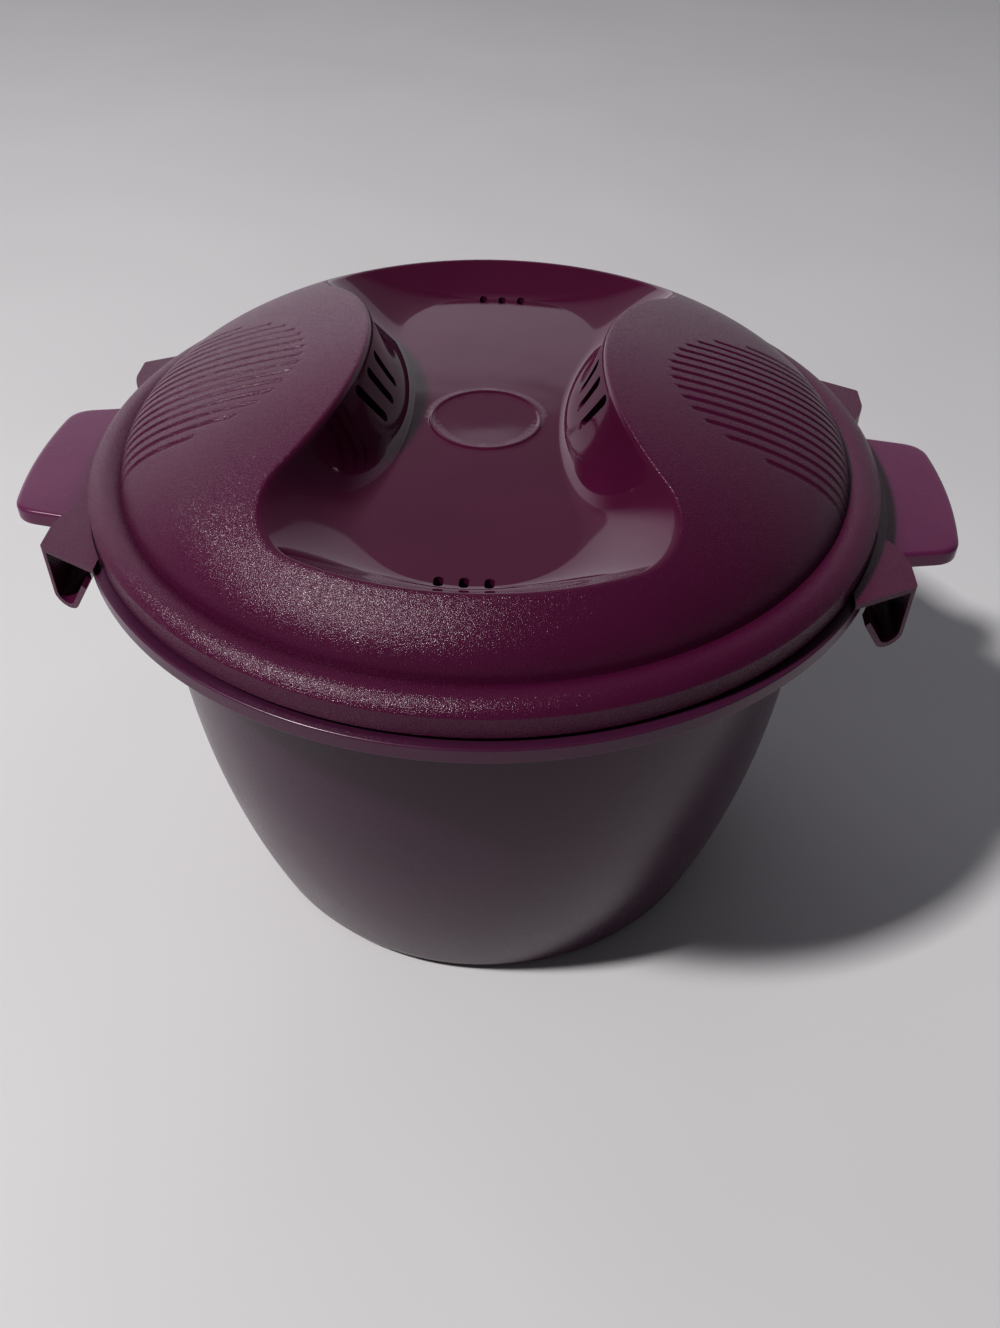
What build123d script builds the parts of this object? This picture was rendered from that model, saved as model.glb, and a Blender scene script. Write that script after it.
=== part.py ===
"""Microwave rice cooker: a round pot with two side handles, a perforated inner lid and a
domed outer lid with a spoon rest, steam vents and two flexing lock wings.

The origin is on the surface that the pot stands on, at the pot's axis. +Z is up, -Y is the
front, and the handles point along -X and +X.
"""

import os

from build123d import *

# Driving dimensions, mm.
lid_radius = 118.0          # outer radius of the outer lid's skirt
rim_radius = 120.8          # outer radius of the band below the pot's rim
rim_top = 145.6             # top face of the pot's rim flange
bowl_top_radius = 100.8     # outside of the bowl just below the rim
foot_radius = 84.6          # outside of the bowl just above the foot
dome_top = 191.2            # height that the dome would reach without the spoon rest
wall = 2.2                  # general wall of the mouldings
rest_gap = 0.3              # air between pieces that only rest on each other
recess_floor = 162.5        # top face of the spoon rest's floor

# Pot.
band_bottom = 141.0
band_wall = 1.6
flange_thickness = 1.8
foot_fillet = 5.5
bowl_belly = (100.5, 71.0)  # a point half way up the bowl's outside
bottom_thickness = 2.6
foot_ring_radius = 72.0
foot_recess = 0.8
bead_radius = 103.6         # locating bead between the two lids
bead_width = 2.0
bead_top = 148.6

# Handles.
handle_reach = 142.6
handle_corner_x = 139.8
handle_half_width = 28.6
handle_root_half_width = 33.0
handle_top = 142.5
handle_plate = 1.8
handle_skirt = 5.0
handle_corner = 6.0

# Inner lid.
inner_flange_radius = 101.8
inner_pan_radius = 95.8
inner_pan_floor = 139.4
inner_wall = 1.8
grip_length = 46.0
grip_width = 7.0
grip_height = 10.5
inner_hole_rings = [(34.0, 8, 7.0), (54.0, 14, 7.0), (74.0, 20, 7.0)]   # radius, count, size

# Outer lid.
dome_radius = 108.6
dome_base = 151.7
dome_power = 1.529
dome_root = 2.211
valley = (108.3, 155.2)
bead_crest = (112.6, 156.3)
bead_edge = 153.2
skirt_bottom = 146.4
seat_rib_radius = 112.8
seat_rib_width = 1.6

# Spoon rest: each section is height, tip reach, waist half width, waist arc, corner arc.
recess_sections = [
    (recess_floor, 80.0, 22.0, 150.0, 26.0),
    (164.6, 85.0, 25.6, 118.0, 23.0),
    (171.5, 92.6, 28.6, 86.0, 19.0),
    (196.0, 96.0, 36.2, 86.0, 19.0),
]
waist_shift = -4.0
ring_radius = 17.0
ring_width = 1.4
ring_height = 0.5

# Steam vents.
vent_hole_pitch = 6.5
vent_hole_size = (4.4, 2.6)
vent_hole_y = 79.0
vent_slot_size = (17.0, 3.2)
vent_slot_y = (2.5, -7.5, -17.5)
vent_slot_z = 176.5
vent_slot_lean = 30.0

# Thumb grips.
groove_count = 15
groove_pitch = 4.35
groove_width = 1.7
groove_depth = 0.55
grip_patch_center = (84.0, -5.0)
grip_patch_radius = 31.0
grip_patch_end = 105.0

# Lock wings.
wing_gap = 0.4
wing_bottom = rim_top + rest_gap + 0.1
wing_top = 147.7
wing_strip_radius = 120.9
ear_corner = (121.8, 52.8)
ear_front_root = (103.6, 62.2)
ear_back_root = (116.4, 31.0)
ear_back_bulge = (120.2, 37.5)
ear_side_end = 43.0
hook_wall = 1.6
hook_tip = (109.0, 138.9)
hook_bend_corner = 118.5    # height of the hook's turn
hook_bend = 3.75
hook_clearance = 0.6        # air between the hooks and the pot's band


def dome_height(radius, drop=0.0, shrink=0.0):
    """Height of the dome's surface at a radius, or of one parallel to it further in."""
    share = min(radius / (dome_radius - shrink), 1.0)
    rise = dome_top - dome_base - drop
    return dome_base + rise * (1.0 - share**dome_power) ** (1.0 / dome_root)


def dome_points(last_radius, drop=0.0, shrink=0.0, count=11):
    """Points down the dome's profile, closer together where it turns steep."""
    radii = [last_radius * (1.0 - (1.0 - i / count) ** 2) for i in range(count + 1)]
    return [(r, dome_height(r, drop, shrink)) for r in radii]


def ear_plan():
    """Plan of the two ears of the right wing, front and rear, down to their roots."""
    with BuildSketch() as plan:
        with BuildLine():
            Polyline(
                (ear_back_root[0] - 12, ear_back_root[1]),
                (ear_front_root[0] - 4, ear_front_root[1] - 2),
                ear_front_root,
                ear_corner,
                (ear_corner[0], ear_side_end),
            )
            ThreePointArc((ear_corner[0], ear_side_end), ear_back_bulge, ear_back_root)
            Line(ear_back_root, (ear_back_root[0] - 12, ear_back_root[1]))
        make_face()
        fillet(plan.vertices().sort_by_distance(ear_corner)[0], 1.2)
        mirror(about=Plane.XZ)
    return plan.sketch


def hourglass(plane, tip, waist, waist_arc, corner):
    """Outline of the spoon rest at one height: a disc with a waist and rounded corners."""
    with BuildSketch(plane) as outline:
        Circle(tip)
        with Locations(
            (waist + waist_arc, waist_shift),
            (-waist - waist_arc, waist_shift),
        ):
            Circle(waist_arc, mode=Mode.SUBTRACT)
        fillet(outline.vertices(), corner)
    return outline.sketch


def recess_solid(grow=0.0):
    """The spoon rest's hollow, or a larger one whose skin is its wall's far side."""
    sections = [
        hourglass(Plane.XY.offset(height - grow), tip + grow, waist + grow, arc - grow, corner)
        for height, tip, waist, arc, corner in recess_sections
    ]
    with BuildPart() as hollow:
        loft(sections)
    return hollow.part


def handle_plan(inset):
    """Plan of both handles, or of the hollow that lies inside their skirts."""
    root = (rim_radius - 3, handle_root_half_width - inset)
    corner = (handle_corner_x - inset, handle_half_width - inset)
    with BuildSketch() as plan:
        with BuildLine():
            Polyline(corner, root, (root[0], -root[1]), (corner[0], -corner[1]))
            ThreePointArc((corner[0], -corner[1]), (handle_reach - inset, 0), corner)
        make_face()
        outer = plan.vertices().group_by(Axis.X)[-1]
        fillet(outer, handle_corner - inset)
        mirror(about=Plane.YZ)
    return plan.sketch


# Pot: bowl, rim flange, band and locating bead are one turned profile, and the handles
# are part of the same moulding.
inner_top = bowl_top_radius - wall
inner_foot = foot_radius - wall
with BuildPart() as pot:
    with BuildSketch(Plane.XZ) as pot_profile:
        with BuildLine():
            Polyline(
                (0, foot_recess),
                (foot_ring_radius, foot_recess),
                (foot_ring_radius, 0),
                (foot_radius, 0),
            )
            ThreePointArc(
                (foot_radius, 0),
                bowl_belly,
                (bowl_top_radius, rim_top - flange_thickness),
            )
            Polyline(
                (bowl_top_radius, rim_top - flange_thickness),
                (rim_radius - band_wall, rim_top - flange_thickness),
                (rim_radius - band_wall, band_bottom),
                (rim_radius, band_bottom),
                (rim_radius, rim_top),
                (bead_radius + bead_width / 2, rim_top),
                (bead_radius + bead_width / 2, bead_top),
                (bead_radius - bead_width / 2, bead_top),
                (bead_radius - bead_width / 2, rim_top),
                (inner_top, rim_top),
            )
            ThreePointArc(
                (inner_top, rim_top),
                (bowl_belly[0] - wall, bowl_belly[1]),
                (inner_foot, bottom_thickness),
            )
            Polyline(
                (inner_foot, bottom_thickness),
                (0, bottom_thickness),
                (0, foot_recess),
            )
        make_face()
        corners = pot_profile.vertices()
        foot_corner = corners.sort_by_distance((foot_radius, 0))[0]
        inner_corner = corners.sort_by_distance((inner_foot, bottom_thickness))[0]
        fillet([foot_corner, inner_corner], foot_fillet)
        bead_corners = corners.filter_by_position(Axis.Y, bead_top - 0.1, bead_top + 0.1)
        fillet(bead_corners, 0.8)
        rim_corner = corners.sort_by_distance((rim_radius, rim_top))[0]
        fillet(rim_corner, 0.7)
    revolve(axis=Axis.Z)

    # Two handles: a plate with a turned-down skirt, hollow underneath.
    with BuildSketch(Plane.XY.offset(handle_top)):
        add(handle_plan(0))
        Circle(rim_radius - band_wall, mode=Mode.SUBTRACT)
    extrude(amount=-handle_skirt)
    with BuildSketch(Plane.XY.offset(handle_top - handle_plate)):
        add(handle_plan(handle_plate))
        Circle(rim_radius, mode=Mode.SUBTRACT)
    extrude(amount=-handle_skirt, mode=Mode.SUBTRACT)
    top_edges = pot.edges().filter_by_position(Axis.Z, handle_top - 0.01, handle_top + 0.01)
    fillet([edge for edge in top_edges if abs(edge.center().X) > rim_radius + 2], 1.2)
pot.part.label = "pot"

# Inner lid: a shallow perforated pan that hangs by its flange inside the locating bead.
with BuildPart() as inner_lid:
    flange_bottom = rim_top + rest_gap
    flange_top = flange_bottom + inner_wall
    with BuildSketch(Plane.XZ) as inner_profile:
        with BuildLine():
            Polyline(
                (0, inner_pan_floor),
                (inner_pan_radius - 4, inner_pan_floor),
                (inner_pan_radius, flange_bottom),
                (inner_flange_radius, flange_bottom),
                (inner_flange_radius, flange_top),
                (inner_pan_radius - inner_wall, flange_top),
                (inner_pan_radius - 4 - inner_wall, inner_pan_floor + inner_wall),
                (0, inner_pan_floor + inner_wall),
                close=True,
            )
        make_face()
    revolve(axis=Axis.Z)
    # Finger grip across the middle.
    with BuildSketch(Plane.XY.offset(inner_pan_floor + 0.5)):
        SlotOverall(grip_length, grip_width)
    extrude(amount=grip_height, taper=4)
    fillet(inner_lid.faces().sort_by(Axis.Z)[-1].edges(), 1.5)
    # Boil-over holes in rings.
    for ring, count, size in inner_hole_rings:
        with BuildSketch(Plane.XY.offset(inner_pan_floor - 1)):
            with PolarLocations(ring, count):
                Circle(size / 2)
        extrude(amount=inner_wall + 2, mode=Mode.SUBTRACT)
inner_lid.part.label = "inner_lid"

# Outer lid: the dome, valley, bead and skirt are turned, and the spoon rest is a second
# shell let into the dome.
inside_shrink = wall + 0.1
inside_last = dome_radius - inside_shrink - 0.1
dome_last = dome_radius - 0.9
with BuildPart(mode=Mode.PRIVATE) as lid_inside:
    with BuildSketch(Plane.XZ):
        with BuildLine():
            inside = dome_points(inside_last, drop=wall, shrink=inside_shrink)
            Spline(inside, tangents=((1, 0), (0, -1)))
            Polyline(
                inside[-1],
                (inside_last, valley[1] - wall),
                (seat_rib_radius - seat_rib_width / 2, valley[1] - wall),
                (seat_rib_radius - seat_rib_width / 2, rim_top - 1),
                (0, rim_top - 1),
                inside[0],
            )
        make_face()
    revolve(axis=Axis.Z)
    add(recess_solid(wall), mode=Mode.SUBTRACT)

# The skin that the thumb grooves take off: the layer just below the dome's surface, where
# the groove lanes cross it.
with BuildPart(mode=Mode.PRIVATE) as groove_skin:
    with BuildSketch(Plane.XZ):
        with BuildLine():
            upper = dome_points(dome_last, drop=-1.0)
            lower = dome_points(dome_last, drop=groove_depth)
            Spline(upper, tangents=((1, 0), (0.1, -1)))
            Spline(lower, tangents=((1, 0), (0.1, -1)))
            Line(upper[0], lower[0])
            Line(upper[-1], lower[-1])
        make_face()
    revolve(axis=Axis.Z)
    with BuildSketch(Plane.XY.offset(dome_base)):
        for index in range(groove_count):
            lane = (index - (groove_count - 1) / 2) * groove_pitch
            start = grip_patch_center[0] - (grip_patch_radius**2 - lane**2) ** 0.5
            length = grip_patch_end - start
            with Locations(
                (start + length / 2, lane + grip_patch_center[1]),
                (-start - length / 2, lane + grip_patch_center[1]),
            ):
                SlotOverall(length, groove_width)
    extrude(amount=dome_top - dome_base, mode=Mode.INTERSECT)

with BuildPart() as outer_lid:
    with BuildSketch(Plane.XZ) as lid_profile:
        with BuildLine():
            outside = dome_points(dome_last)
            Spline(outside, tangents=((1, 0), (0.1, -1)))
            Polyline(outside[-1], valley)
            ThreePointArc(valley, bead_crest, (lid_radius, bead_edge))
            rib_outer = seat_rib_radius + seat_rib_width / 2
            Polyline(
                (lid_radius, bead_edge),
                (lid_radius, skirt_bottom),
                (lid_radius - wall, skirt_bottom),
                (lid_radius - wall, bead_edge - wall),
                (rib_outer, bead_edge - 0.6),
                (rib_outer, rim_top + rest_gap),
                (0, rim_top + rest_gap),
                outside[0],
            )
        make_face()
    revolve(axis=Axis.Z)
    add(lid_inside.part, mode=Mode.SUBTRACT)
    add(recess_solid(), mode=Mode.SUBTRACT)

    # Raised ring in the middle of the spoon rest.
    with BuildSketch(Plane.XY.offset(recess_floor - 0.2)):
        Circle(ring_radius)
        Circle(ring_radius - ring_width, mode=Mode.SUBTRACT)
    extrude(amount=ring_height + 0.2)

    # Round steam vents at both ends of the floor.
    with BuildSketch(Plane.XY.offset(recess_floor - 2 * wall)):
        with Locations((0, vent_hole_y), (0, -vent_hole_y)):
            with GridLocations(vent_hole_pitch, 0, 3, 1):
                SlotOverall(vent_hole_size[0], vent_hole_size[1], rotation=90)
    extrude(amount=4 * wall, mode=Mode.SUBTRACT)

    # Leaning steam slots through both walls of the waist.
    for side in (-1, 1):
        slot_plane = Plane(origin=(side * 22, 0, vent_slot_z), x_dir=(0, 1, 0), z_dir=(side, 0, 0))
        with BuildSketch(slot_plane) as slots:
            with Locations(*[(y, 0) for y in vent_slot_y]):
                SlotOverall(*vent_slot_size, rotation=side * (90 + vent_slot_lean))
        extrude(amount=16, mode=Mode.SUBTRACT)

    # Thumb grips: shallow straight grooves that follow the dome on both shoulders.
    add(groove_skin.part, mode=Mode.SUBTRACT)
outer_lid.part.label = "outer_lid"

# Lock wings: a thin strip along the lid's skirt joins two ears, and under each ear a hook
# turns in below the pot's rim band. Each wing flexes about the line where it meets the lid.
with BuildPart() as hooks:
    with BuildSketch(Plane.XZ):
        with BuildLine():
            outside_x = ear_corner[0] - hook_wall / 2
            FilletPolyline(
                (outside_x, wing_top - 0.5),
                (outside_x, hook_bend_corner),
                hook_tip,
                radius=hook_bend,
            )
        trace(line_width=hook_wall)
    extrude(amount=ear_front_root[1] + 5, both=True)
    with BuildSketch(Plane.XY.offset(hook_bend_corner)):
        add(ear_plan())
        Circle(rim_radius + hook_clearance, mode=Mode.SUBTRACT)
    extrude(amount=wing_top - hook_bend_corner, mode=Mode.INTERSECT)

with BuildPart() as right_lock_wing:
    with BuildSketch(Plane.XY.offset(wing_bottom)):
        Circle(wing_strip_radius)
        add(ear_plan())
        Circle(lid_radius + wing_gap, mode=Mode.SUBTRACT)
        with Locations((-lid_radius, 0)):
            Rectangle(2 * (lid_radius + ear_front_root[0]), 3 * lid_radius, mode=Mode.SUBTRACT)
    extrude(amount=wing_top - wing_bottom)
    add(hooks.part)
right_lock_wing.part.label = "right_lock_wing"

with BuildPart() as left_lock_wing:
    add(right_lock_wing.part)
    mirror(about=Plane.YZ, mode=Mode.REPLACE)
left_lock_wing.part.label = "left_lock_wing"

os.makedirs("parts", exist_ok=True)
for piece in (pot, inner_lid, outer_lid, left_lock_wing, right_lock_wing):
    export_step(piece.part, f"parts/{piece.part.label}.step")
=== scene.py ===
import math

import bmesh
import bpy
import numpy as np
from mathutils import Matrix, Vector


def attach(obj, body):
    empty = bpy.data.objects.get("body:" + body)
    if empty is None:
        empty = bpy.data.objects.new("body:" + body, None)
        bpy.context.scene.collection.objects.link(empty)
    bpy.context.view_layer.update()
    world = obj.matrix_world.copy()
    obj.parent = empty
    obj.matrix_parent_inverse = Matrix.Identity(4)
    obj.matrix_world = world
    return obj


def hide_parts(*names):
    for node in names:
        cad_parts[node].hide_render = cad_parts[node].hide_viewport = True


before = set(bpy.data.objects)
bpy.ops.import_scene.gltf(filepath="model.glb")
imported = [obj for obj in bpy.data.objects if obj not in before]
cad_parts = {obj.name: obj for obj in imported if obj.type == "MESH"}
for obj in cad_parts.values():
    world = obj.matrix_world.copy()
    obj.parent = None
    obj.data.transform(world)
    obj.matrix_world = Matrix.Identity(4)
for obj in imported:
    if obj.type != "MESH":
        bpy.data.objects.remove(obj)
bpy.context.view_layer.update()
scene = bpy.context.scene
MM = 0.001

# ---------------------------------------------------------------- Camera
# The eye stands over the front rim, a little to the right, and looks down into the lid's
# spoon rest. The Standard view with some contrast keeps the plum as deep as the plastic is.
eye = Vector((22.0, -314.9, 351.9)) * MM
look_left = math.radians(3.06)
look_down = math.radians(42.49)
lean = math.radians(0.76)
lens_per_height = 1200.0 / 1328.0

right = Vector((math.cos(look_left), math.sin(look_left), 0))
level = Vector((-math.sin(look_left), math.cos(look_left), 0))
ahead = level * math.cos(look_down) - Vector((0, 0, math.sin(look_down)))
up = right.cross(ahead)
turned_right = right * math.cos(lean) + up * math.sin(lean)
turned_up = up * math.cos(lean) - right * math.sin(lean)
camera = bpy.data.objects.new("camera", bpy.data.cameras.new("camera"))
camera.data.sensor_width = 36.0
camera.data.lens = camera.data.sensor_width * lens_per_height
camera.data.clip_start = 0.01
axes = Matrix((turned_right, turned_up, -ahead)).transposed().to_4x4()
camera.matrix_world = Matrix.Translation(eye) @ axes
scene.collection.objects.link(camera)
scene.camera = camera
scene.view_settings.view_transform = "Standard"
scene.view_settings.look = "Medium High Contrast"


# ---------------------------------------------------------------- Table and light
# A table top under a plain pale cotton cloth. One small window at the front left gives most
# of the light. A pale wall behind the table and a grey ceiling are what the gloss mirrors.
def linear(hex_colour):
    """An sRGB hex colour as the linear values that shaders take."""
    values = [int(hex_colour[i:i + 2], 16) / 255 for i in (0, 2, 4)]
    values = [v / 12.92 if v <= 0.04045 else ((v + 0.055) / 1.055) ** 2.4 for v in values]
    return (*values, 1.0)


def node(tree, kind, settings=None, inputs=None):
    """Adds a shader node. Each input is a value, or another node's socket to link from."""
    made = tree.nodes.new("ShaderNode" + kind)
    for name, value in (settings or {}).items():
        setattr(made, name, value)
    for name, value in (inputs or {}).items():
        if isinstance(value, bpy.types.NodeSocket):
            tree.links.new(value, made.inputs[name])
        else:
            made.inputs[name].default_value = value
    return made


def new_material(name):
    """A material with an empty tree, and the point in the object's frame, in metres."""
    made = bpy.data.materials.new(name)
    made.use_nodes = True
    made.node_tree.nodes.clear()
    place = node(made.node_tree, "TexCoord").outputs["Object"]
    return made, made.node_tree, place


# Cotton sheet: soft folds 200 mm wide, and no gloss.
cotton, tree, place = new_material("pale_cotton")
folds = node(tree, "TexNoise", {}, {"Vector": place, "Scale": 1 / 0.2, "Detail": 2.0})
tint = node(tree, "Mix", {"data_type": "RGBA"}, {
    0: folds.outputs["Fac"],
    6: linear("d4d4d6"),
    7: linear("dedee0"),
})
soft_folds = node(tree, "Bump", {}, {"Height": folds.outputs["Fac"], "Distance": 0.006, "Strength": 0.3})
shader = node(tree, "BsdfPrincipled", {}, {
    "Base Color": tint.outputs[2],
    "Roughness": 0.95,
    "Specular IOR Level": 0.1,
    "Normal": soft_folds.outputs["Normal"],
})
node(tree, "OutputMaterial", {}, {"Surface": shader.outputs["BSDF"]})

half_table = 3.0
table_mesh = bpy.data.meshes.new("table_top")
table_corners = [(x * half_table, y * half_table, 0) for x, y in ((-1, -1), (1, -1), (1, 1), (-1, 1))]
table_mesh.from_pydata(table_corners, [], [(0, 1, 2, 3)])
table_mesh.materials.append(cotton)
table = bpy.data.objects.new("table_top", table_mesh)
scene.collection.objects.link(table)

# The window is a small square light that faces the lid.
window_direction = Vector((-0.495, -0.303, 0.814)).normalized()
window_distance, window_size, window_power = 2.0, 0.17, 32.0
lid_middle = Vector((0, 0, 0.12))
window_light = bpy.data.lights.new("window", "AREA")
window_light.size = window_size
window_light.energy = window_power
window_light.color = linear("fffcfa")[:3]
window = bpy.data.objects.new("window", window_light)
window.location = lid_middle + window_direction * window_distance
window.rotation_euler = window_direction.to_track_quat("Z", "Y").to_euler()
scene.collection.objects.link(window)

# The room as the gloss sees it: a bright wall behind, up to 30 degrees above the table, a
# grey ceiling over the wall, both brighter on the window's side, and little light from
# anywhere else.
wall_top = math.sin(math.radians(29.7))
wall_edge = 0.005
room_light, wall_light, ceiling_light = 0.085, 1.0, 0.3
room = bpy.data.worlds.new("room")
scene.world = room
room.use_nodes = True
tree = room.node_tree
tree.nodes.clear()
direction = node(tree, "TexCoord").outputs["Generated"]
split = node(tree, "SeparateXYZ", {}, {"Vector": direction})
wall_or_ceiling = node(tree, "MapRange", {}, {
    "Value": split.outputs["Z"],
    "From Min": wall_top - wall_edge,
    "From Max": wall_top + wall_edge,
    "To Min": wall_light,
    "To Max": ceiling_light,
})
behind = node(tree, "MapRange", {"interpolation_type": "SMOOTHSTEP"}, {
    "Value": split.outputs["Y"],
    "From Min": 0.25,
    "From Max": 0.65,
})
window_side = node(tree, "MapRange", {}, {
    "Value": split.outputs["X"],
    "From Min": -0.5,
    "From Max": 0.5,
    "To Min": 1.2,
    "To Max": 0.4,
})
lit_walls = node(tree, "Math", {"operation": "MULTIPLY"}, {
    0: wall_or_ceiling.outputs[0],
    1: window_side.outputs[0],
})
strength = node(tree, "Math", {"operation": "MULTIPLY_ADD"}, {
    0: behind.outputs[0],
    1: lit_walls.outputs[0],
    2: room_light,
})
sky = node(tree, "Background", {}, {"Color": linear("efedf3"), "Strength": strength.outputs[0]})
node(tree, "OutputWorld", {}, {"Surface": sky.outputs[0]})


# ---------------------------------------------------------------- Outer lid
# One injection moulding in plum polypropylene, 2.2 mm thick. The mould's dome, bead and
# skirt were spark-eroded, so they are finely grained and matte, and the spoon rest was
# polished, so it mirrors the room. Every ring of the mesh has the same stations.
lid_wall = 2.2
dome_foot, dome_base, dome_top = 108.6, 151.7, 191.2
dome_power, dome_root = 1.529, 2.211
dome_last = dome_foot - 0.9
floor_height = 162.5
waist_shift = -4.0
rim_size = {"tip": 93.2, "waist": 33.6, "waist_arc": 86.0, "corner": 19.0}
floor_size = {"tip": 80.0, "waist": 22.0, "waist_arc": 150.0, "corner": 26.0}
groove_count, groove_pitch, groove_width, groove_depth = 15, 4.35, 1.7, 0.55
grip_x, grip_y, grip_radius, grip_end = 84.0, -5.0, 31.0, 105.0
corner_steps, end_steps = 30, 72
crease_degrees = 38


def smooth(value):
    """A share that eases from 0 to 1."""
    value = np.clip(value, 0.0, 1.0)
    return value * value * (3 - 2 * value)


def dome(radius, drop=0.0, shrink=0.0):
    """Height of the dome's face at a radius, or of a face inside it."""
    share = np.clip(radius / (dome_foot - shrink), 0.0, 1.0)
    return dome_base + (dome_top - dome_base - drop) * (1 - share**dome_power) ** (1 / dome_root)


def arc(centre, first, last, count):
    """Points on the short way round a centre, from first up to just before last."""
    start = math.atan2(first[1] - centre[1], first[0] - centre[0])
    turn = math.atan2(last[1] - centre[1], last[0] - centre[0]) - start
    turn = (turn + math.pi) % (2 * math.pi) - math.pi
    angles = start + turn * np.arange(count) / count
    radius = math.dist(centre, first)
    return centre + radius * np.stack([np.cos(angles), np.sin(angles)], 1)


def waist_ends(tip, waist, waist_arc, corner):
    """Where the right waist arc, a corner arc and an end arc touch, front and rear."""
    middle = np.array([waist + waist_arc, waist_shift])
    reach = tip - corner
    gap = waist_arc + corner
    distance = math.hypot(*middle)
    along = (distance**2 + reach**2 - gap**2) / (2 * distance)
    aside = math.sqrt(reach**2 - along**2)
    ahead_unit = middle / distance
    side_unit = np.array([-ahead_unit[1], ahead_unit[0]])
    touches = []
    for end in (-1, 1):
        centre = ahead_unit * along + side_unit * aside * end
        on_waist = middle + (centre - middle) * waist_arc / gap
        on_end = centre * tip / reach
        touches.append((centre, on_waist, on_end))
    return middle, touches


def hourglass(tip, waist, waist_arc, corner, shares):
    """The spoon rest's outline from above, anticlockwise from the front of its right waist."""
    middle, (front, rear) = waist_ends(tip, waist, waist_arc, corner)
    mirror = np.array([-1, 1])
    y = front[1][1] + (rear[1][1] - front[1][1]) * shares
    x = middle[0] - np.sqrt(waist_arc**2 - (y - waist_shift) ** 2)
    right_waist = np.stack([x, y], 1)
    rear_corner = arc(rear[0], rear[1], rear[2], corner_steps)
    rear_end = arc(np.zeros(2), rear[2], rear[2] * mirror, end_steps)
    front_corner = arc(front[0], front[2], front[1], corner_steps)
    front_end = arc(np.zeros(2), front[2] * mirror, front[2], end_steps)
    right_half = np.vstack([right_waist, rear_corner])
    left_half = np.vstack([right_half[1:], [rear[2]]])[::-1] * mirror
    front_left = np.vstack([front_corner[1:], [front[1]]])[::-1] * mirror
    return np.vstack([right_half, rear_end, left_half, front_left, front_end, front_corner])


# Plum polypropylene off a spark-eroded mould: a soft sheen that breaks into sparks under
# the window. The grain is 0.15 mm in truth and drawn at 0.25 mm, to show.
grained_plum, tree, place = new_material("grained_plum_polypropylene")
grain = node(tree, "TexNoise", {}, {"Vector": place, "Scale": 1 / 0.00025, "Detail": 0.0})
clouds = node(tree, "TexNoise", {}, {"Vector": place, "Scale": 1 / 0.03, "Detail": 2.0})
colour = node(tree, "Mix", {"data_type": "RGBA"}, {
    0: clouds.outputs["Fac"],
    6: linear("4a1134"),
    7: linear("52163b"),
})
dull = node(tree, "MapRange", {}, {"Value": grain.outputs["Fac"], "To Min": 0.2, "To Max": 0.32})
relief = node(tree, "Bump", {}, {"Height": grain.outputs["Fac"], "Distance": 0.0002, "Strength": 0.6})
shader = node(tree, "BsdfPrincipled", {}, {
    "Base Color": colour.outputs[2],
    "Roughness": dull.outputs[0],
    "IOR": 1.49,
    "Specular IOR Level": 0.38,
    "Normal": relief.outputs["Normal"],
})
node(tree, "OutputMaterial", {}, {"Surface": shader.outputs["BSDF"]})

# The same plastic off polished steel: a clear mirror with a slow ripple, 25 mm wide, where
# the moulding shrank.
polished_plum, tree, place = new_material("polished_plum_polypropylene")
ripple = node(tree, "TexNoise", {}, {"Vector": place, "Scale": 1 / 0.025, "Detail": 1.0})
haze = node(tree, "TexNoise", {}, {"Vector": place, "Scale": 1 / 0.008, "Detail": 3.0})
colour = node(tree, "Mix", {"data_type": "RGBA"}, {
    0: ripple.outputs["Fac"],
    6: linear("46122f"),
    7: linear("501838"),
})
dull = node(tree, "MapRange", {}, {"Value": haze.outputs["Fac"], "To Min": 0.04, "To Max": 0.11})
relief = node(tree, "Bump", {}, {"Height": ripple.outputs["Fac"], "Distance": 0.0004, "Strength": 0.35})
shader = node(tree, "BsdfPrincipled", {}, {
    "Base Color": colour.outputs[2],
    "Roughness": dull.outputs[0],
    "IOR": 1.49,
    "Normal": relief.outputs["Normal"],
})
node(tree, "OutputMaterial", {}, {"Surface": shader.outputs["BSDF"]})

# The stations cross each groove at its lips, its flanks and its bed, and are 1.2 mm apart
# elsewhere along the waist.
_, (front_touch, rear_touch) = waist_ends(**rim_size)
waist_low, waist_high = front_touch[1][1], rear_touch[1][1]
lanes = grip_y + groove_pitch * (np.arange(groove_count) - (groove_count - 1) / 2)
across = np.array([-1.6, -0.9, -0.7, -0.5, -0.3, 0.0, 0.3, 0.5, 0.7, 0.9, 1.6])
in_grooves = (lanes[:, None] + across).ravel()
before = np.arange(waist_low, in_grooves[0] - 0.6, 1.2)
after = np.arange(in_grooves[-1] + 1.2, waist_high - 0.4, 1.2)
shares = (np.concatenate([before, in_grooves, after]) - waist_low) / (waist_high - waist_low)
rim_outline = hourglass(**rim_size, shares=shares)
floor_outline = hourglass(**floor_size, shares=shares)

# Each station runs straight out over the shoulders and radially over the ends.
turn_share = smooth((abs(rim_outline[:, 1]) - 38) / 35)
straight = np.arcsin(np.clip(rim_outline[:, 1] / dome_foot, -1, 1))
straight = np.where(rim_outline[:, 0] < 0, np.pi - straight, straight)
radial = np.arctan2(rim_outline[:, 1], rim_outline[:, 0])
straight = radial + (straight - radial + np.pi) % (2 * np.pi) - np.pi
azimuth = straight + (radial - straight) * turn_share
spokes = np.stack([np.cos(azimuth), np.sin(azimuth)], 1)


def ring(plan, height):
    """One ring of points from its plan and its height or heights."""
    return np.column_stack([plan, np.broadcast_to(height, len(plan))])


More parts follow.
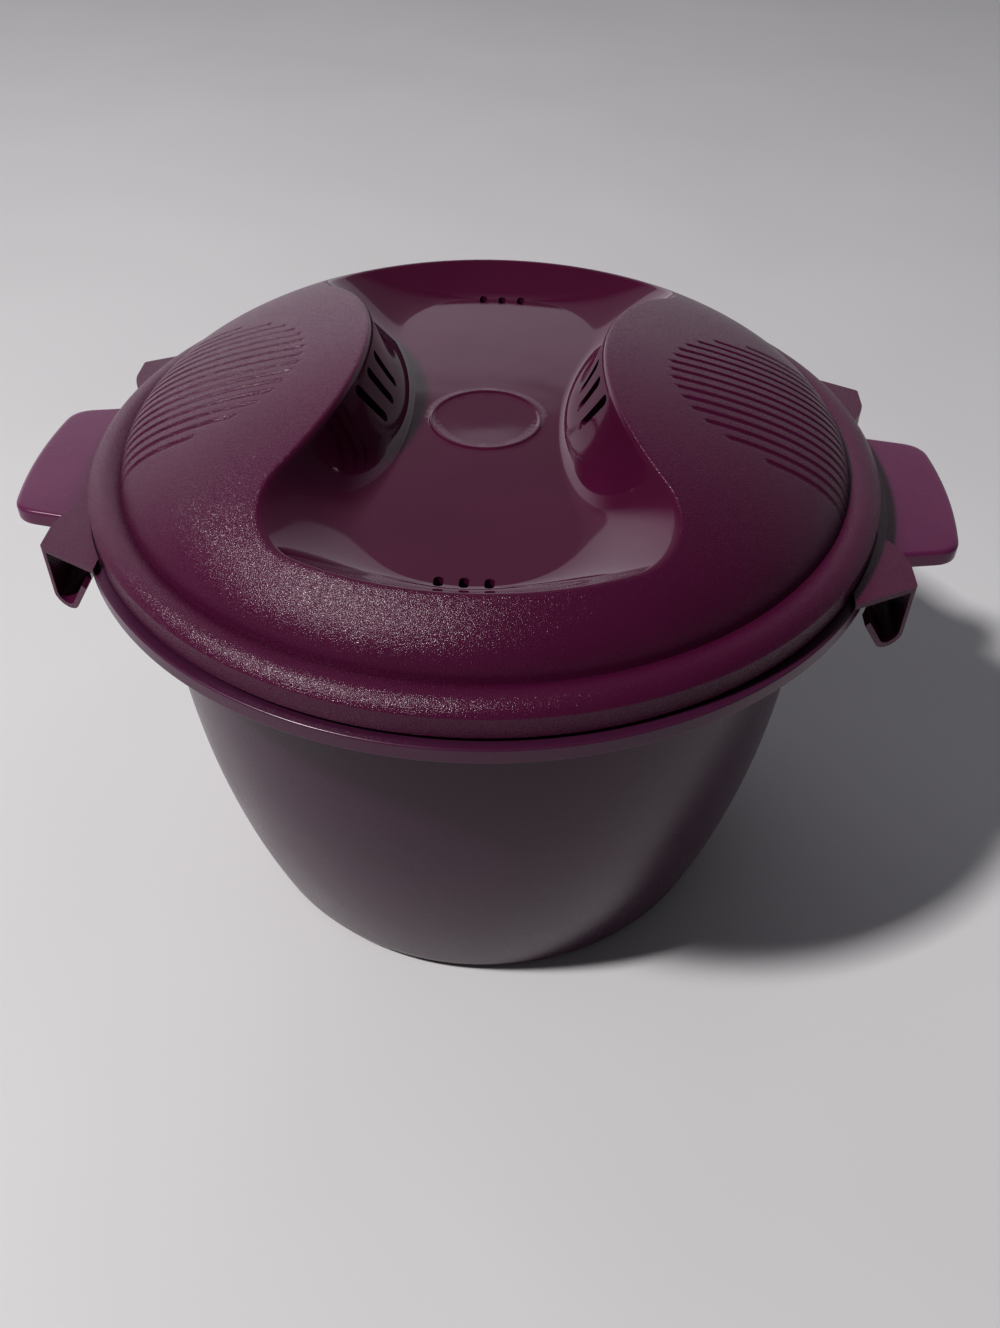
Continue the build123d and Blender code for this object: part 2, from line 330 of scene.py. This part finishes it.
def curve(first, pull, last, shares_along):
    """Rings along the curve that leaves first towards pull and arrives at last from it."""
    return [first * (1 - t) ** 2 + pull * 2 * t * (1 - t) + last * t * t for t in shares_along]


def circle_through(first, crest, last, count):
    """Points on the circle through three points of a profile, both ends included."""
    a, b, c = (np.array(p) for p in (first, crest, last))
    lhs = 2 * np.array([b - a, c - a])
    rhs = np.array([b @ b - a @ a, c @ c - a @ a])
    return np.vstack([arc(np.linalg.solve(lhs, rhs), a, c, count), [c]])


def closed_shell(name, rings):
    """A closed mesh from rings of points, capped by a point at each end."""
    stations = len(rings[0])
    first, last = rings[0].mean(0), rings[-1].mean(0)
    points = np.vstack([first, *rings, last]) * MM
    around = np.arange(stations)
    beside = (around + 1) % stations
    faces = [(0, 1 + a, 1 + b) for a, b in zip(around, beside)]
    for index in range(len(rings) - 1):
        low = 1 + index * stations
        high = low + stations
        faces += list(zip(low + around, high + around, high + beside, low + beside))
    low = 1 + (len(rings) - 1) * stations
    faces += [(low + a, len(points) - 1, low + b) for a, b in zip(around, beside)]
    mesh = bpy.data.meshes.new(name)
    mesh.from_pydata(points.tolist(), [], [tuple(map(int, face)) for face in faces])
    piece = bpy.data.objects.new(name, mesh)
    scene.collection.objects.link(piece)
    return piece


def depth_below_dome(plan):
    """How deep the thumb grooves cut the dome at each point of a ring."""
    x, y = abs(plan[:, 0:1]), plan[:, 1:2]
    start = grip_x - np.sqrt(grip_radius**2 - (lanes - grip_y) ** 2)
    beyond = np.maximum(start + groove_width / 2 - x, 0) + np.maximum(x - grip_end, 0)
    away = np.hypot(beyond, y - lanes).min(1)
    return groove_depth * smooth((0.92 - away) / 0.5)


# From the middle of the floor out to its edge: a ring 33 mm wide is embossed there.
floor_angles = np.arctan2(floor_outline[:, 1], floor_outline[:, 0])
floor_spokes = np.stack([np.cos(floor_angles), np.sin(floor_angles)], 1)
embossed = [(2, -0.25), (5, -0.22), (9, -0.15), (13, -0.05), (15.2, 0), (15.6, 0.12), (15.9, 0.4),
            (16.2, 0.5), (16.5, 0.5), (16.8, 0.4), (17.1, 0.12), (17.5, 0), (19, 0)]
embossed_end = embossed[-1][0]
rings = [ring(floor_spokes * r, floor_height + h) for r, h in embossed]
for share in np.linspace(0, 1, 13)[1:]:
    plan = floor_spokes * embossed_end * (1 - share) + floor_outline * share
    rings.append(ring(plan, floor_height))

# The rest's wall, its rounded rim and the dome.
rim_radii = np.hypot(*rim_outline.T)
rim = ring(rim_outline, dome(rim_radii))
floor_edge = ring(floor_outline, floor_height)
wall_foot = floor_edge + (rim - floor_edge) * 0.4
wall_foot[:, 2] = floor_height + 0.7
wall_rings = curve(floor_edge, wall_foot, rim, np.linspace(0, 0.955, 22)[1:])
foot_plan = spokes * dome_last
lip_share = 1.3 / np.hypot(*(foot_plan - rim_outline).T)[:, None]
dome_start = rim_outline + (foot_plan - rim_outline) * lip_share
dome_edge = ring(dome_start, dome(np.hypot(*dome_start.T)))
rings += wall_rings + curve(wall_rings[-1], rim, dome_edge, (0.2, 0.4, 0.6, 0.8))
polished_rings = len(rings) - 2
dome_steps = 80
for step in range(dome_steps + 1):
    share = 1 - (1 - step / dome_steps) ** 1.35
    plan = dome_start + (foot_plan - dome_start) * share
    rings.append(ring(plan, dome(np.hypot(*plan.T)) - depth_below_dome(plan)))

# Valley, bead, skirt and the seat rib inside the skirt are turned shapes.
bead = circle_through((108.3, 155.2), (112.6, 156.3), (117.7, 153.4), 12)
skirt = [(117.95, 153.1), (118, 152.8), (118, 146.9), (117.6, 146.4), (116.2, 146.4), (115.8, 146.8),
         (115.8, 151.0), (113.6, 152.6), (113.6, 146.3), (113.2, 145.9), (112.4, 145.9),
         (112.0, 146.3), (112.0, 153.0), (106.2, 153.0)]
rings += [ring(spokes * r, z) for r, z in [*bead, *skirt]]

# The underside follows the dome and the rest one wall further in.
under_rim_size = {"tip": 95.0, "waist": 35.4, "waist_arc": 84.2, "corner": 19.0}
under_floor_size = {"tip": 82.0, "waist": 24.0, "waist_arc": 148.0, "corner": 26.0}
under_rim = hourglass(**under_rim_size, shares=shares)
under_floor = hourglass(**under_floor_size, shares=shares)
under_foot = spokes * 106.0
for share in np.linspace(0, 1, 14) ** 0.7:
    plan = under_foot + (under_rim - under_foot) * share
    rings.append(ring(plan, dome(np.hypot(*plan.T), drop=lid_wall, shrink=lid_wall + 0.1)))
under_edge = ring(under_floor, floor_height - lid_wall)
under_wall_foot = under_edge + (rings[-1] - under_edge) * 0.4
under_wall_foot[:, 2] = floor_height - lid_wall + 0.7
rings += curve(rings[-1], under_wall_foot, under_edge, np.linspace(0, 1, 9)[1:])
for share in (0.25, 0.5, 0.75, 0.95):
    rings.append(ring(under_floor * (1 - share), floor_height - lid_wall))

outer_lid = closed_shell("outer_lid_moulding", rings)
outer_lid.data.materials.append(grained_plum)
outer_lid.data.materials.append(polished_plum)
stations = len(rim_outline)
polished_faces = stations * (polished_rings + 1)
indices = np.zeros(len(outer_lid.data.polygons), dtype=int)
indices[:polished_faces] = 1
outer_lid.data.polygons.foreach_set("material_index", indices)


def capsule(name, centre, across_size, length, direction, through, depth):
    """A pin with a slot's section, to cut a vent: long along direction, deep along through."""
    direction = Vector(direction).normalized()
    through = Vector(through).normalized()
    side = through.cross(direction)
    sides = 32
    outline = []
    for step in range(sides):
        angle = 2 * math.pi * (step + 0.5) / sides
        point = side * math.cos(angle) * across_size / 2 + direction * math.sin(angle) * across_size / 2
        stretch = (length - across_size) / 2 * (1 if math.sin(angle) > 0 else -1)
        outline.append(point + direction * stretch)
    built = bmesh.new()
    ends = []
    for end in (-0.5, 0.5):
        offset = Vector(centre) + through * depth * end
        ends.append([built.verts.new((p + offset) * MM) for p in outline])
    built.faces.new(ends[0])
    built.faces.new(ends[1][::-1])
    for k in range(sides):
        beside = (k + 1) % sides
        built.faces.new((ends[0][k], ends[1][k], ends[1][beside], ends[0][beside]))
    bmesh.ops.recalc_face_normals(built, faces=built.faces)
    mesh = bpy.data.meshes.new(name)
    built.to_mesh(mesh)
    built.free()
    return mesh


def join_meshes(name, meshes):
    """One object from several meshes that don't touch."""
    built = bmesh.new()
    for mesh in meshes:
        built.from_mesh(mesh)
    joined = bpy.data.meshes.new(name)
    built.to_mesh(joined)
    built.free()
    tool = bpy.data.objects.new(name, joined)
    scene.collection.objects.link(tool)
    return tool


def apply_modifiers(piece):
    """Bakes the modifiers into the piece's mesh."""
    shape = bpy.context.evaluated_depsgraph_get()
    shape.update()
    baked = bpy.data.meshes.new_from_object(piece.evaluated_get(shape))
    piece.modifiers.clear()
    piece.data = baked


def combine(piece, tool, operation):
    """Cuts the tool from the piece, or joins it on, and throws the tool away."""
    step = piece.modifiers.new(operation.lower(), "BOOLEAN")
    step.operation = operation
    step.solver = "MANIFOLD"
    step.object = tool
    apply_modifiers(piece)
    bpy.data.objects.remove(tool)


def shade_smooth(piece):
    """Smooth shading, with creases kept where faces meet sharply."""
    piece.data.shade_smooth()
    piece.data.set_sharp_from_angle(angle=math.radians(crease_degrees))
    even = piece.modifiers.new("even_normals", "WEIGHTED_NORMAL")
    even.keep_sharp = True


# Six oval vents in the ends of the floor, and three leaning slots in each waist wall.
vent_end, vent_pitch, vent_width, vent_length = 79.0, 6.5, 2.6, 4.4
slot_side, slot_height, slot_width, slot_length = 31.0, 176.5, 3.2, 17.0
slot_lean = math.radians(30)
pin_depth = 14.0
vents = []
for y in (-vent_end, vent_end):
    for x in (-vent_pitch, 0.0, vent_pitch):
        centre = (x, y, floor_height)
        vents.append(capsule("vent", centre, vent_width, vent_length, (0, 1, 0), (0, 0, 1), pin_depth))
lean_up = (0, -math.sin(slot_lean), math.cos(slot_lean))
for side in (-1, 1):
    for y in (2.5, -7.5, -17.5):
        centre = (side * slot_side, y, slot_height)
        vents.append(capsule("slot", centre, slot_width, slot_length, lean_up, (1, 0, 0), pin_depth))
combine(outer_lid, join_meshes("vent_pins", vents), "DIFFERENCE")
shade_smooth(outer_lid)

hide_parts("outer_lid")
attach(outer_lid, "outer_lid")


# ---------------------------------------------------------------- Pot
# The cooking pot is one moulding of satin polypropylene: a bowl, a flange with a turned-down
# band, a bead that keeps the lids in place, and two hollow handles. Bowl and band are turned,
# and the handles are joined on.
pot_stations = 256
pot_wall, band_radius, band_wall, flange = 2.2, 120.8, 1.6, 1.8
bowl_top, foot_radius, rim_top, band_bottom = 100.8, 84.6, 145.6, 141.0
belly = (100.5, 71.0)
angles = 2 * np.pi * np.arange(pot_stations) / pot_stations
pot_spokes = np.stack([np.cos(angles), np.sin(angles)], 1)


def softened(corners, steps=4):
    """A profile whose corners are rounded: each corner is a radius, a height and a fillet."""
    points = []
    for index, (r, z, fillet) in enumerate(corners):
        here = np.array([r, z])
        if fillet == 0:
            points.append(here)
            continue
        ends = [np.array(corners[index + step][:2]) for step in (-1, 1)]
        first, last = (here + (end - here) * fillet / np.linalg.norm(end - here) for end in ends)
        points += curve(first, here, last, np.linspace(0, 1, steps + 1))
    return points


pot_floor = 2.6
inner_arc = circle_through((foot_radius - pot_wall, pot_floor), (belly[0] - pot_wall, belly[1]),
                           (bowl_top - pot_wall, rim_top), 44)
outer_arc = circle_through((foot_radius, 0), belly, (bowl_top, rim_top - flange), 44)[::-1]
inside = [(r, z, 0) for r, z in inner_arc if 9 < z < rim_top - 2]
outside = [(r, z, 0) for r, z in outer_arc if z > 6]
rings = [ring(pot_spokes * r, pot_floor) for r in (12, 36, 60, 74)]
profile = [
    (74, pot_floor, 0),
    (foot_radius - pot_wall, pot_floor, 5.5),
    *inside,
    (bowl_top - pot_wall, rim_top, 0.5),
    (102.6, rim_top, 0),
    (102.6, 148.6, 0.7),
    (104.6, 148.6, 0.7),
    (104.6, rim_top, 0),
    (band_radius, rim_top, 0.7),
    (band_radius, band_bottom, 0.35),
    (band_radius - band_wall, band_bottom, 0.35),
    (band_radius - band_wall, rim_top - flange, 0),
    *outside,
    (foot_radius, 0, 5.0),
    (72.6, 0, 0.4),
    (72.0, 0.8, 0),
]
rings += [ring(pot_spokes * r, z) for r, z in softened(profile)[1:]]
rings += [ring(pot_spokes * r, 0.8) for r in (60, 36, 12)]
pot = closed_shell("pot_moulding", rings)

# A handle is a shallow tray upside down: its rim is a skirt, and its root is set into the
# band. The outline runs from the root's front end round to its rear end and back.
handle_reach, handle_corner_x, handle_half, handle_root_half = 142.6, 139.8, 28.6, 33.0
handle_top, handle_bottom, handle_plate, handle_corner = 142.5, 137.5, 1.8, 6.0


def handle_outline(inset):
    """A handle's outline from the front of its root, set in from its skirt's outside."""
    root_y = handle_root_half - inset
    root_radius = band_radius - band_wall + 0.3 + 0.8 * inset
    root = np.array([math.sqrt(root_radius**2 - root_y**2), -root_y])
    corner = np.array([handle_corner_x - inset, inset - handle_half])
    end = circle_through(corner, (handle_reach - inset, 0), corner * [1, -1], 40)[4:-4]
    bend = corner + (root - corner) * handle_corner / math.dist(root, corner)
    side = [root + (bend - root) * share for share in np.linspace(0, 1, 9)[:-1]]
    side += curve(bend, corner, end[0], np.linspace(0, 1, 9)[:-1])
    front = np.array(side)
    root_arc = arc(np.zeros(2), root * [1, -1], root, 24)[1:]
    return np.vstack([front, end, front[::-1] * [1, -1], root_arc])


def handle_ring(inset, height, spread=1.0):
    """A ring of the handle, drawn in towards its middle where spread is under 1."""
    plan = handle_outline(inset)
    middle = plan.mean(0)
    return ring(middle + (plan - middle) * spread, height)


handle_rings = [handle_ring(1.4, handle_top, share) for share in (0.2, 0.5, 0.8)]
handle_rings += curve(handle_ring(1.4, handle_top), handle_ring(0, handle_top),
                      handle_ring(0, handle_top - 1.4), np.linspace(0, 1, 6))
handle_skirt = [(0, 2), (0, 0.5), (0.15, 0.15), (0.5, 0), (1.3, 0), (1.65, 0.15), (1.8, 0.5),
                (1.8, 2.7), (2.3, 3.2)]
handle_rings += [handle_ring(inset, handle_bottom + up_by) for inset, up_by in handle_skirt]
handle_rings += [handle_ring(2.3, handle_top - handle_plate, share) for share in (0.7, 0.3)]
for side in (-1, 1):
    mirrored = [points[::side] * [side, 1, 1] for points in handle_rings]
    combine(pot, closed_shell("handle", mirrored), "UNION")
shade_smooth(pot)

# Satin polypropylene, a little see-through: the bowl looks grey where it mirrors the cloth.
# The band and handles, under 2 mm thick and out in the light, get a lighter, warmer plum base
# colour: a painted glow for the light that passes through them. The scuffs are finer than they
# can show and are drawn 1.2 mm wide.
satin_plum, tree, place = new_material("satin_plum_polypropylene")
flat_place = node(tree, "VectorMath", {"operation": "MULTIPLY"}, {0: place, 1: (1, 1, 0)})
radius = node(tree, "VectorMath", {"operation": "LENGTH"}, {0: flat_place.outputs[0]})
# Painted glow: from 117 mm out from the axis, on the band and handles, the base colour turns lighter,
# standing in for light through the thin plastic.
painted_glow_mask = node(tree, "MapRange", {}, {
    "Value": radius.outputs["Value"],
    "From Min": 0.117,
    "From Max": 0.128,
})
clouds = node(tree, "TexNoise", {}, {"Vector": place, "Scale": 1 / 0.02, "Detail": 3.0})
scuffs = node(tree, "TexNoise", {}, {"Vector": place, "Scale": 1 / 0.0012, "Detail": 2.0})
bowl_plum = node(tree, "Mix", {"data_type": "RGBA"}, {
    0: clouds.outputs["Fac"],
    6: linear("38182f"),
    7: linear("411e37"),
})
# A lighter, warmer plum: painted glow for the thin band and handles, not a colour of their own.
painted_glow_plum = node(tree, "Mix", {"data_type": "RGBA"}, {
    0: clouds.outputs["Fac"],
    6: linear("5c2349"),
    7: linear("682b52"),
})
colour = node(tree, "Mix", {"data_type": "RGBA"}, {
    0: painted_glow_mask.outputs[0],
    6: bowl_plum.outputs[2],
    7: painted_glow_plum.outputs[2],
})
dull = node(tree, "MapRange", {}, {"Value": clouds.outputs["Fac"], "To Min": 0.22, "To Max": 0.34})
relief = node(tree, "Bump", {}, {"Height": scuffs.outputs["Fac"], "Distance": 0.0001, "Strength": 0.25})
shader = node(tree, "BsdfPrincipled", {}, {
    "Base Color": colour.outputs[2],
    "Roughness": dull.outputs[0],
    "IOR": 1.49,
    "Normal": relief.outputs["Normal"],
})
node(tree, "OutputMaterial", {}, {"Surface": shader.outputs["BSDF"]})
pot.data.materials.clear()
pot.data.materials.append(satin_plum)
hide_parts("pot")
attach(pot, "pot")


# ---------------------------------------------------------------- Inner lid
# A shallow pan of the same satin polypropylene with three rings of holes and a finger grip.
# It hangs by its flange inside the pot's bead and keeps froth down.
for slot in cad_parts["inner_lid"].material_slots:
    slot.material = satin_plum


# ---------------------------------------------------------------- Lock wings
# Each wing is a strip along the lid's skirt with two ears, and a hook hangs below each ear
# and turns in under the pot's band. They are moulded with the lid, in the same plastic, and
# flex along the line where they meet it.
def rounded_copy(node_name, name, edge_radius):
    """A CAD piece with its flat faces made whole and its edges rounded."""
    built = bmesh.new()
    built.from_mesh(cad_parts[node_name].data)
    bmesh.ops.remove_doubles(built, verts=built.verts, dist=0.001 * MM)
    bmesh.ops.dissolve_limit(
        built, angle_limit=math.radians(1), verts=built.verts, edges=built.edges)
    mesh = bpy.data.meshes.new(name)
    built.to_mesh(mesh)
    built.free()
    piece = bpy.data.objects.new(name, mesh)
    scene.collection.objects.link(piece)
    edges = piece.modifiers.new("edges", "BEVEL")
    edges.width = edge_radius * MM
    edges.segments = 2
    edges.angle_limit = math.radians(40)
    apply_modifiers(piece)
    return piece


wing_edge_radius = 0.3
for side in ("left", "right"):
    wing = rounded_copy(f"{side}_lock_wing", f"{side}_lock_wing_moulding", wing_edge_radius)
    shade_smooth(wing)
    wing.data.materials.clear()
    wing.data.materials.append(grained_plum)
    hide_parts(f"{side}_lock_wing")
    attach(wing, f"{side}_wing")
